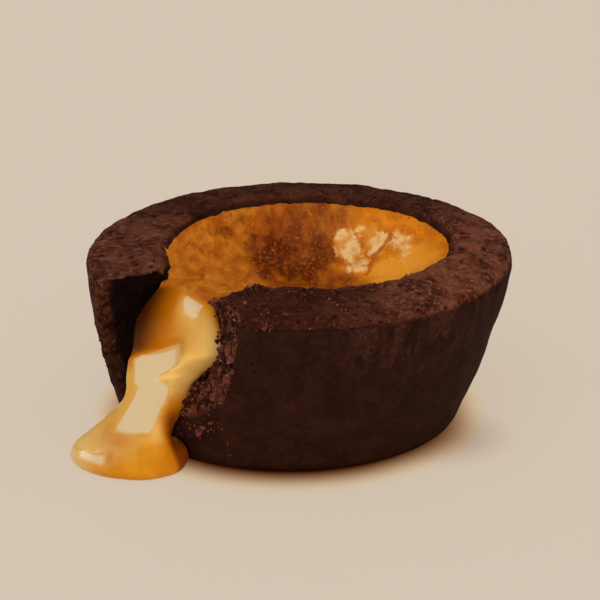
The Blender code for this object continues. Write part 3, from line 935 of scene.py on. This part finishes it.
class Nodes:
    """A material's node tree, with short calls to add to it."""

    def __init__(self, name):
        self.material = bpy.data.materials.new(name)
        self.material.use_nodes = True
        self.tree = self.material.node_tree
        self.shader = self.tree.nodes["Principled BSDF"]
        self.place = self.add("ShaderNodeTexCoord").outputs["Object"]

    def add(self, kind, **settings):
        """Add a node with the given settings."""
        node = self.tree.nodes.new(kind)
        for name, value in settings.items():
            setattr(node, name, value)
        return node

    def put(self, socket, value):
        """Link an output to a socket, or set the socket's own value."""
        if isinstance(value, bpy.types.NodeSocket):
            self.tree.links.new(value, socket)
        else:
            socket.default_value = value

    def surface(self, **values):
        """Set inputs of the shader, named with underscores for their spaces."""
        for name, value in values.items():
            self.put(self.shader.inputs[name.replace("_", " ")], value)

    def mask(self, name):
        """One of the numbers stored in the mesh."""
        return self.add("ShaderNodeAttribute", attribute_name=name).outputs["Fac"]

    def noise(self, size, detail=3.0, roughness=0.6, distortion=0.0):
        """Noise around 0.5 with bumps of the given size."""
        node = self.add("ShaderNodeTexNoise")
        self.put(node.inputs["Vector"], self.place)
        node.inputs["Scale"].default_value = 1.0 / (size * MM)
        node.inputs["Detail"].default_value = detail
        node.inputs["Roughness"].default_value = roughness
        node.inputs["Distortion"].default_value = distortion
        return node.outputs["Fac"]

    def cells(self, spacing):
        """How far it is to the nearest of scattered points, over their spacing."""
        node = self.add("ShaderNodeTexVoronoi")
        self.put(node.inputs["Vector"], self.place)
        node.inputs["Scale"].default_value = 1.0 / (spacing * MM)
        return node.outputs["Distance"]

    def ramp(self, value, low, high, start=0.0, end=1.0):
        """A smooth climb from start to end as the value goes from low to high."""
        node = self.add("ShaderNodeMapRange", interpolation_type="SMOOTHSTEP")
        limits = (("From Min", low), ("From Max", high), ("To Min", start), ("To Max", end))
        for name, amount in (("Value", value), *limits):
            self.put(node.inputs[name], amount)
        return node.outputs["Result"]

    def math(self, operation, first, second):
        """A calculation with two numbers."""
        node = self.add("ShaderNodeMath", operation=operation)
        self.put(node.inputs[0], first)
        self.put(node.inputs[1], second)
        return node.outputs["Value"]

    def vector(self, operation, first, second=None):
        """A calculation with a vector, or with two."""
        node = self.add("ShaderNodeVectorMath", operation=operation)
        self.put(node.inputs[0], first)
        if second is not None:
            self.put(node.inputs[1], second)
        return node.outputs["Value" if operation == "LENGTH" else "Vector"]

    def mix(self, share, first, second):
        """A mix of two colours, each given as screen values or as an output."""
        node = self.add("ShaderNodeMix", data_type="RGBA")
        sockets = {socket.identifier: socket for socket in node.inputs}
        self.put(sockets["Factor_Float"], share)
        for name, colour in (("A_Color", first), ("B_Color", second)):
            self.put(sockets[name], srgb(*colour) if isinstance(colour, tuple) else colour)
        return next(socket for socket in node.outputs if socket.identifier == "Result_Color")

    def mottled(self, value, low, high, colours):
        """The first of two colours below low, the second above high."""
        return self.mix(self.ramp(value, low, high), *colours)

    def bump(self, height, distance):
        """A surface direction that follows a height, of up to the given distance."""
        node = self.add("ShaderNodeBump")
        node.inputs["Strength"].default_value = 1.0
        node.inputs["Distance"].default_value = distance * MM
        self.put(node.inputs["Height"], height)
        return node.outputs["Normal"]


def sponge_material():
    """Dark, dry chocolate sponge: smoother and darker on the side, mauve and crumbly on top."""
    nodes = Nodes("sponge")
    top = nodes.mask("top")
    torn = nodes.mask("torn")
    mottle = nodes.noise(4.5, 4.0, 0.65)
    crumb = nodes.noise(0.9, 4.0, 0.7)
    speck = nodes.cells(1.1)
    side = nodes.mottled(mottle, 0.35, 0.7, SIDE)
    side = nodes.mix(nodes.ramp(crumb, 0.5, 0.8), side, SIDE_CRUMB)
    paler_side = nodes.mottled(crumb, 0.42, 0.62, PALER_SIDE)
    side = nodes.mix(nodes.ramp(nodes.mask("paler_side_patch"), 0.0, 1.0, 0.0, 0.6), side, paler_side)
    dim = nodes.mottled(mottle, 0.3, 0.7, DIM_RIM)
    dim = nodes.mix(nodes.ramp(crumb, 0.5, 0.75), dim, DIM_RIM_CRUMB)
    pale = nodes.mottled(mottle, 0.38, 0.62, PALE_RIM)
    pale = nodes.mix(nodes.ramp(crumb, 0.48, 0.72), pale, PALE_RIM_CRUMB)
    rim = nodes.mix(nodes.mask("pale"), dim, pale)
    flesh = nodes.mottled(nodes.noise(2.4), 0.4, 0.6, FLESH)
    flesh = nodes.mix(nodes.ramp(crumb, 0.52, 0.7), flesh, FLESH_CRUMB)
    # Painted shade where the torn face is unlit
    flesh = nodes.mix(nodes.mask("lit"), PAINTED_SHADE_FLESH, flesh)
    colour = nodes.mix(torn, nodes.mix(top, side, rim), flesh)
    # Painted shade in the pits
    colour = nodes.mix(nodes.ramp(nodes.mask("pit"), 0.1, 0.9, 0.0, 0.8), colour, PIT_SHADE)
    # Painted shade along the rim's outer edge
    colour = nodes.mix(nodes.ramp(nodes.mask("corner"), 0.3, 1.0, 0.0, 0.7), colour, RIM_CORNER_SHADE)
    crumbly = nodes.math("MAXIMUM", top, torn)
    glint = nodes.math("ADD", speck, nodes.math("MULTIPLY", crumb, -0.5))
    glint = nodes.ramp(glint, -0.15, 0.05, 0.42, 0.86)
    height = nodes.math("ADD", crumb, nodes.ramp(speck, 0.0, 0.7, 0.7, 0.0))
    height = nodes.math("MULTIPLY", height, nodes.ramp(crumbly, 0.0, 1.0, 0.25, 1.0))
    nodes.surface(
        Base_Color=colour,
        Roughness=nodes.ramp(crumbly, 0.0, 1.0, 0.86, glint),
        Specular_IOR_Level=SPONGE_SPECULAR,
        Normal=nodes.bump(height, 0.24),
    )
    return nodes.material


def crumb_material():
    """Small crumbs of the same sponge, a little moist, so that they glint."""
    nodes = Nodes("sponge_crumbs")
    colour = nodes.mottled(nodes.noise(1.6), 0.4, 0.6, CRUMB)
    nodes.surface(
        Base_Color=nodes.mix(nodes.ramp(nodes.noise(0.9), 0.55, 0.7), colour, PALE_CRUMB),
        Roughness=nodes.ramp(nodes.noise(1.5), 0.35, 0.65, 0.3, 0.7),
        Specular_IOR_Level=CRUMB_SPECULAR,
        Normal=nodes.bump(nodes.noise(0.35), 0.12),
    )
    return nodes.material


def flow_colour(nodes):
    """The golden stream and puddle, with painted light and painted shade laid over them."""
    flow = nodes.mottled(nodes.noise(7.0, 3.0, 0.55, 0.4), 0.35, 0.7, FLOW)
    for name, limits, colour in FLOW_LAYERS:
        share = nodes.mask(name)
        if limits is not None:
            share = nodes.ramp(share, *limits)
        flow = nodes.mix(share, flow, colour)
    return flow


def pool_colour(nodes, mottle, fleck):
    """The pool, baked dark in the middle, with pale patches of painted glare, painted highlights, and a
    crack at the right.
    """
    grain = nodes.noise(0.55, 2.0)
    dark = nodes.mask("dark")
    colour = nodes.mottled(mottle, 0.34, 0.68, POOL)
    clear = nodes.mottled(nodes.noise(1.8), 0.42, 0.6, CLEAR_POOL)
    colour = nodes.mix(nodes.mask("bright"), colour, clear)
    baked = nodes.mottled(mottle, 0.36, 0.64, BAKED_POOL)
    colour = nodes.mix(nodes.ramp(dark, 0.0, 1.0, 0.0, 0.9), colour, baked)
    colour = nodes.mix(nodes.ramp(fleck, 0.54, 0.7, 0.0, 0.55), colour, POOL_FLECK)
    crust = nodes.mottled(grain, 0.42, 0.62, POOL_CRUST)
    colour = nodes.mix(nodes.ramp(nodes.mask("darkest"), 0.0, 1.1, 0.0, 0.95), colour, crust)
    # Painted highlight in a band
    colour = nodes.mix(nodes.ramp(nodes.mask("band"), 0.0, 1.0, 0.0, 0.85), colour, POOL_GLARE_BAND)
    # Painted glare in pale patches
    cream = nodes.mottled(nodes.noise(2.4, 1.5), 0.4, 0.58, POOL_PAINTED_GLARE)
    ragged = nodes.ramp(nodes.noise(0.8, 4.0, 0.7), 0.36, 0.64, -0.38, 0.2)
    painted_glare = nodes.math("ADD", nodes.mask("painted_glare"), ragged)
    colour = nodes.mix(nodes.ramp(painted_glare, 0.22, 0.8, 0.0, 0.92), colour, cream)
    colour = nodes.mix(nodes.ramp(nodes.mask("crack"), 0.1, 0.9, 0.0, 0.85), colour, POOL_CRACK)
    # Painted highlight along the near edge
    colour = nodes.mix(nodes.ramp(nodes.mask("painted_lip_highlight"), 0.2, 0.9, 0.0, 0.5), colour, POOL_LIP_HIGHLIGHT)
    gleam = nodes.math("MULTIPLY", nodes.ramp(grain, 0.6, 0.72), nodes.ramp(dark, 0.0, 1.0, 0.25, 0.45))
    return nodes.mix(gleam, colour, POOL_GLEAM)


def caramel_material(name, specular):
    """Thick caramel: a glossy golden stream, and a pool mottled with baked crumb."""
    nodes = Nodes(name)
    pool = nodes.mask("pool")
    flow = flow_colour(nodes)
    nodes.place = nodes.vector("MULTIPLY", nodes.place, POOL_DRAWN_OUT)
    mottle = nodes.noise(2.3, 5.0, 0.62)
    fleck = nodes.noise(0.9, 3.0, 0.65)
    wet = nodes.ramp(nodes.mask("satin"), 0.0, 1.0, 0.11, 0.45)
    dry = nodes.ramp(mottle, 0.4, 0.65, 0.5, 0.3)
    height = nodes.math("ADD", mottle, nodes.math("MULTIPLY", fleck, 0.35))
    nodes.surface(
        Base_Color=nodes.mix(pool, flow, pool_colour(nodes, mottle, fleck)),
        Roughness=nodes.ramp(pool, 0.0, 1.0, wet, dry),
        Subsurface_Weight=SUBSURFACE,
        Subsurface_Radius=SUBSURFACE_RADIUS,
        Subsurface_Scale=SUBSURFACE_SCALE,
        Specular_IOR_Level=specular,
        Normal=nodes.bump(nodes.math("MULTIPLY", height, pool), 0.3),
    )
    return nodes.material


def add_caramel_materials(caramel):
    """Give the stream, the pool and the shaded part of the stream their materials."""
    mesh = caramel.data
    firsts = first_corners(mesh)
    index = np.zeros(len(mesh.polygons), np.int32)
    for name, specular, _, _ in CARAMELS:
        mesh.materials.append(caramel_material(name, specular))
    # The pool comes last, so that it wins where the two meet
    for number in (2, 1):
        _, _, mask, least = CARAMELS[number]
        index[mask_at(mesh, mask, firsts) > least] = number
    mesh.polygons.foreach_set("material_index", index)


def floor_material():
    """A plain pale surface that glows with painted light, but for painted shadows around the cake."""
    nodes = Nodes("floor")
    near = nodes.vector("LENGTH", nodes.vector("MULTIPLY", nodes.place, (FLOOR_GLOW_WIDENING, 1.0, 1.0)))
    middle = (SHADOW_MIDDLE[0] * MM, SHADOW_MIDDLE[1] * MM, 0.0)
    reach = (SHADOW_REACH[0] * MM, SHADOW_REACH[1] * MM, 1.0)
    offset = nodes.vector("SUBTRACT", nodes.place, middle)
    away = nodes.vector("LENGTH", nodes.vector("DIVIDE", offset, reach))
    # Painted contact shadow: darker colour near the foot
    clear = nodes.ramp(near, FLOOR_CONTACT_SHADOW_RADII[0] * MM, FLOOR_CONTACT_SHADOW_RADII[1] * MM)
    plain_colour = nodes.mix(nodes.noise(60.0, 2.0), *FLOOR_COLOURS)
    # Painted light: the floor's glow, cut back near the foot and to the right to paint shadows
    glow = nodes.add("ShaderNodeCombineColor")
    for channel, (low, high) in enumerate(FLOOR_GLOW_RADII):
        end = srgb(*FLOOR_GLOW_COLOUR)[channel]
        glowing = nodes.ramp(near, low * MM, high * MM, 0.0, end)
        spared = nodes.ramp(away, 0.0, 1.0, 1.0 - SHADOW_DEPTH[channel], 1.0)
        nodes.put(glow.inputs[channel], nodes.math("MULTIPLY", glowing, spared))
    nodes.surface(
        Base_Color=nodes.mix(clear, FLOOR_CONTACT_SHADOW_COLOUR, plain_colour),
        Emission_Color=glow.outputs["Color"],
        Emission_Strength=1.0,
        Roughness=FLOOR_ROUGHNESS,
        Specular_IOR_Level=FLOOR_SPECULAR,
    )
    return nodes.material


def make_floor():
    """The surface that the cake stands on."""
    work = bmesh.new()
    squares = FLOOR_SQUARES
    bmesh.ops.create_grid(work, x_segments=squares, y_segments=squares, size=FLOOR_SIZE)
    mesh = bpy.data.meshes.new("floor")
    work.to_mesh(mesh)
    work.free()
    floor = new_object("floor", mesh)
    mesh.materials.append(floor_material())


def add_light(name, direction, distance, size, power, colour, mirrored, receivers):
    """A rectangular light that faces the cake, and is either mirrored or lights surfaces."""
    light = bpy.data.lights.new(name, "AREA")
    light.shape = "RECTANGLE"
    light.size, light.size_y = size
    light.energy = power
    light.color = colour
    thing = new_object(name, light)
    away = Vector(direction).normalized()
    thing.location = CAMERA_TARGET + away * distance
    thing.rotation_euler = away.to_track_quat("Z", "Y").to_euler()
    thing.visible_glossy = mirrored
    thing.visible_diffuse = not mirrored
    if receivers is not None:
        thing.light_linking.receiver_collection = receivers


def add_lights(groups):
    """Soft light from the upper left, the back and all around."""
    receivers = {None: None}
    for name, things in groups.items():
        receivers[name] = bpy.data.collections.new(name)
        for thing in things:
            receivers[name].objects.link(thing)
    for *settings, group in LIGHTS:
        add_light(*settings, receivers[group])
    world = bpy.data.worlds.new("world")
    world.use_nodes = True
    background = world.node_tree.nodes["Background"]
    background.inputs["Color"].default_value = WORLD_COLOUR
    background.inputs["Strength"].default_value = WORLD_STRENGTH
    bpy.context.scene.world = world
    world.cycles_visibility.glossy = False


def add_camera():
    """The camera, at the front and above."""
    data = bpy.data.cameras.new("camera")
    data.sensor_width = SENSOR
    data.lens = SENSOR * CAMERA_DISTANCE / VIEW_WIDTH
    data.clip_end = CAMERA_REACH
    camera = new_object("camera", data)
    back = Vector((0.0, -math.cos(VIEW_ELEVATION), math.sin(VIEW_ELEVATION)))
    camera.location = CAMERA_TARGET + back * CAMERA_DISTANCE
    camera.rotation_euler = (math.pi / 2 - VIEW_ELEVATION, 0.0, 0.0)
    bpy.context.scene.camera = camera
    bpy.context.scene.view_settings.view_transform = "Standard"


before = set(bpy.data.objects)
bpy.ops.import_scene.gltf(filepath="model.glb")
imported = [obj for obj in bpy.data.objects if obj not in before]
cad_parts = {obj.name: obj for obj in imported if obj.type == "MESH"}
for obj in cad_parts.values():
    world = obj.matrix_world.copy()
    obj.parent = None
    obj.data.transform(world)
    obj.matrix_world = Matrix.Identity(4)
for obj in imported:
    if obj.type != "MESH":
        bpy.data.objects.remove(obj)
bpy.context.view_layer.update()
cake = make_cake(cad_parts["cake"])
caramel = make_caramel(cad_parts["caramel"])
crumbs = make_crumbs(cake, caramel)
cake.data.materials.append(sponge_material())
crumbs.data.materials.append(crumb_material())
add_caramel_materials(caramel)
for piece, slot in ((cake, "sponge"), (crumbs, "sponge"), (caramel, "caramel")):
    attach(piece, "root")
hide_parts("cake")
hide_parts("caramel")
make_floor()
add_lights({"wet": (caramel,), "dry": (cake, crumbs)})
add_camera()
